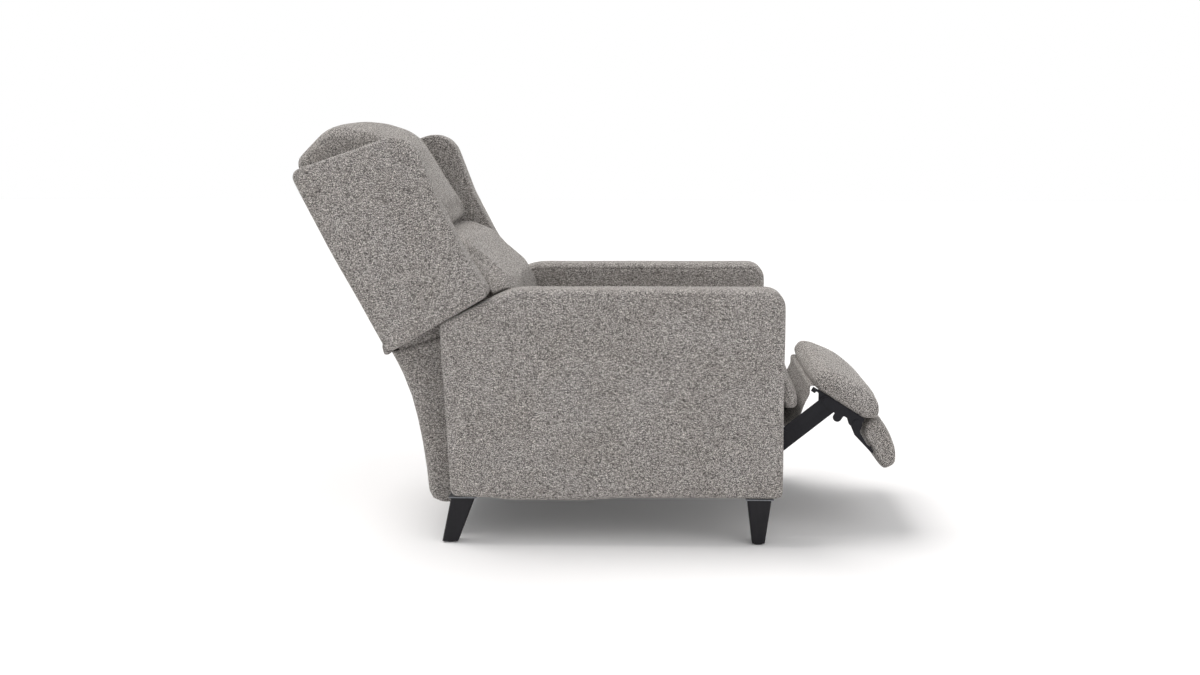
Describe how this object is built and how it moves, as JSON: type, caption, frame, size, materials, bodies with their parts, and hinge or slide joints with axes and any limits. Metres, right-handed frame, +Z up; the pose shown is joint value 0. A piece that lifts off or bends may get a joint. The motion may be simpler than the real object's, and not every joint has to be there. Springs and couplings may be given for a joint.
{
  "type": "high leg recliner",
  "caption": "Upholstered high leg recliner with wings, shown leaned back with its scissor-linked footrest and foot flap part way up.",
  "frame": {"origin": "on the floor under the middle of the chair's outline, leaned back as in the picture", "axes": "+Z up, the sitter faces -Y, +X to the sitter's left"},
  "size_m": [0.74, 1.4656, 1.0296],
  "materials": {
    "upholstery": "heathered woven tweed, greige",
    "frame_wood": "sawn boards, unfinished",
    "leg_wood": "near-black satin lacquer",
    "glide_plastic": "matte",
    "zinc_steel": "zinc plated",
    "spring_steel": "oiled",
    "webbing": "woven elastic",
    "linkage_steel": "black satin paint"
  },
  "bodies": {
    "base": {"arm_cover_left": "upholstery", "arm_cover_right": "upholstery", "arm_frame_left": "frame_wood", "arm_frame_right": "frame_wood", "rail_bolts": "zinc_steel", "front_stretcher": "frame_wood", "rear_stretcher": "frame_wood", "front_leg_left": "leg_wood", "front_leg_right": "leg_wood", "rear_leg_left": "leg_wood", "rear_leg_right": "leg_wood", "leg_plates": "zinc_steel", "leg_bolts": "zinc_steel", "leg_glides": "glide_plastic", "base_rail_left": "linkage_steel", "base_rail_right": "linkage_steel", "rear_curtain": "upholstery"},
    "rear_swing": {"rear_swing_links": "linkage_steel"},
    "front_swing": {"front_swing_links": "linkage_steel"},
    "seat": {"seat_plate_left": "linkage_steel", "seat_plate_right": "linkage_steel", "seat_frame": "frame_wood", "seat_springs": "spring_steel", "seat_cushion": "upholstery", "gap_cover": "upholstery"},
    "lower_link": {"lower_link_left": "linkage_steel", "lower_link_right": "linkage_steel"},
    "companion_link": {"companion_links": "linkage_steel"},
    "upper_link": {"upper_link_left": "linkage_steel", "upper_link_right": "linkage_steel"},
    "guide_link": {"guide_links": "linkage_steel"},
    "footrest": {"footrest_bracket_left": "linkage_steel", "footrest_bracket_right": "linkage_steel", "footrest_board": "frame_wood", "footrest_pad": "upholstery"},
    "flipper": {"flipper_arm_left": "linkage_steel", "flipper_arm_right": "linkage_steel", "flipper_board": "frame_wood", "flipper_pad": "upholstery"},
    "drive_link": {"drive_links": "linkage_steel"},
    "back": {"wing_cover_left": "upholstery", "wing_cover_right": "upholstery", "wing_board_left": "frame_wood", "wing_board_right": "frame_wood", "wing_bolts": "zinc_steel", "back_frame": "frame_wood", "back_webbing": "webbing", "back_bracket_left": "linkage_steel", "back_bracket_right": "linkage_steel", "back_side_panels": "upholstery", "back_panel": "upholstery", "back_tail": "upholstery", "head_pillow": "upholstery", "lumbar_pillow": "upholstery"}
  },
  "joints": [
    {"name": "back_recline", "type": "hinge", "parent": "base", "child": "back", "pos_m": [0, 0.12, 0.38], "axis": [1, 0, 0], "range_deg": [0, 16]},
    {"name": "rear_swing_turn", "type": "hinge", "parent": "base", "child": "rear_swing", "pos_m": [0, 0.06, 0.195], "axis": [1, 0, 0], "range_deg": [-26, 0]},
    {"name": "front_swing_turn", "type": "hinge", "parent": "base", "child": "front_swing", "pos_m": [0, -0.25, 0.195], "axis": [1, 0, 0], "range_deg": [-26, 0]},
    {"name": "seat_carry", "type": "hinge", "parent": "rear_swing", "child": "seat", "pos_m": [0, 0.04129, 0.28303], "axis": [1, 0, 0], "range_deg": [0, 26], "deforming": ["gap_cover"]},
    {"name": "lower_link_turn", "type": "hinge", "parent": "seat", "child": "lower_link", "pos_m": [0, -0.30673, 0.2696], "axis": [1, 0, 0], "range_deg": [0, 80.9]},
    {"name": "companion_link_turn", "type": "hinge", "parent": "seat", "child": "companion_link", "pos_m": [0, -0.33782, 0.29477], "axis": [1, 0, 0], "range_deg": [0, 80.9]},
    {"name": "upper_link_turn", "type": "hinge", "parent": "lower_link", "child": "upper_link", "pos_m": [0, -0.42672, 0.23512], "axis": [1, 0, 0], "range_deg": [-80.9, 0]},
    {"name": "footrest_turn", "type": "hinge", "parent": "upper_link", "child": "footrest", "pos_m": [0, -0.55883, 0.3421], "axis": [1, 0, 0], "range_deg": [0, 58]},
    {"name": "guide_link_turn", "type": "hinge", "parent": "footrest", "child": "guide_link", "pos_m": [0, -0.57918, 0.32938], "axis": [1, 0, 0], "range_deg": [-53.09, 0]},
    {"name": "flipper_turn", "type": "hinge", "parent": "footrest", "child": "flipper", "pos_m": [0, -0.63537, 0.2872], "axis": [1, 0, 0], "range_deg": [0, 150]},
    {"name": "drive_link_turn", "type": "hinge", "parent": "seat", "child": "drive_link", "pos_m": [0, 0.055, 0.2287], "axis": [1, 0, 0], "range_deg": [0, 5.54]}
  ],
  "couplings": [
    {"joint": "rear_swing_turn", "follows": "back_recline", "ratio": -1.625},
    {"joint": "front_swing_turn", "follows": "back_recline", "ratio": -1.625},
    {"joint": "seat_carry", "follows": "back_recline", "ratio": 1.625},
    {"joint": "lower_link_turn", "follows": "back_recline", "ratio": 5.0565},
    {"joint": "companion_link_turn", "follows": "back_recline", "ratio": 5.0565},
    {"joint": "upper_link_turn", "follows": "back_recline", "ratio": -5.0565},
    {"joint": "footrest_turn", "follows": "back_recline", "ratio": 3.625},
    {"joint": "guide_link_turn", "follows": "back_recline", "ratio": -3.3182},
    {"joint": "flipper_turn", "follows": "back_recline", "ratio": 9.375},
    {"joint": "drive_link_turn", "follows": "back_recline", "ratio": 0.34634}
  ]
}
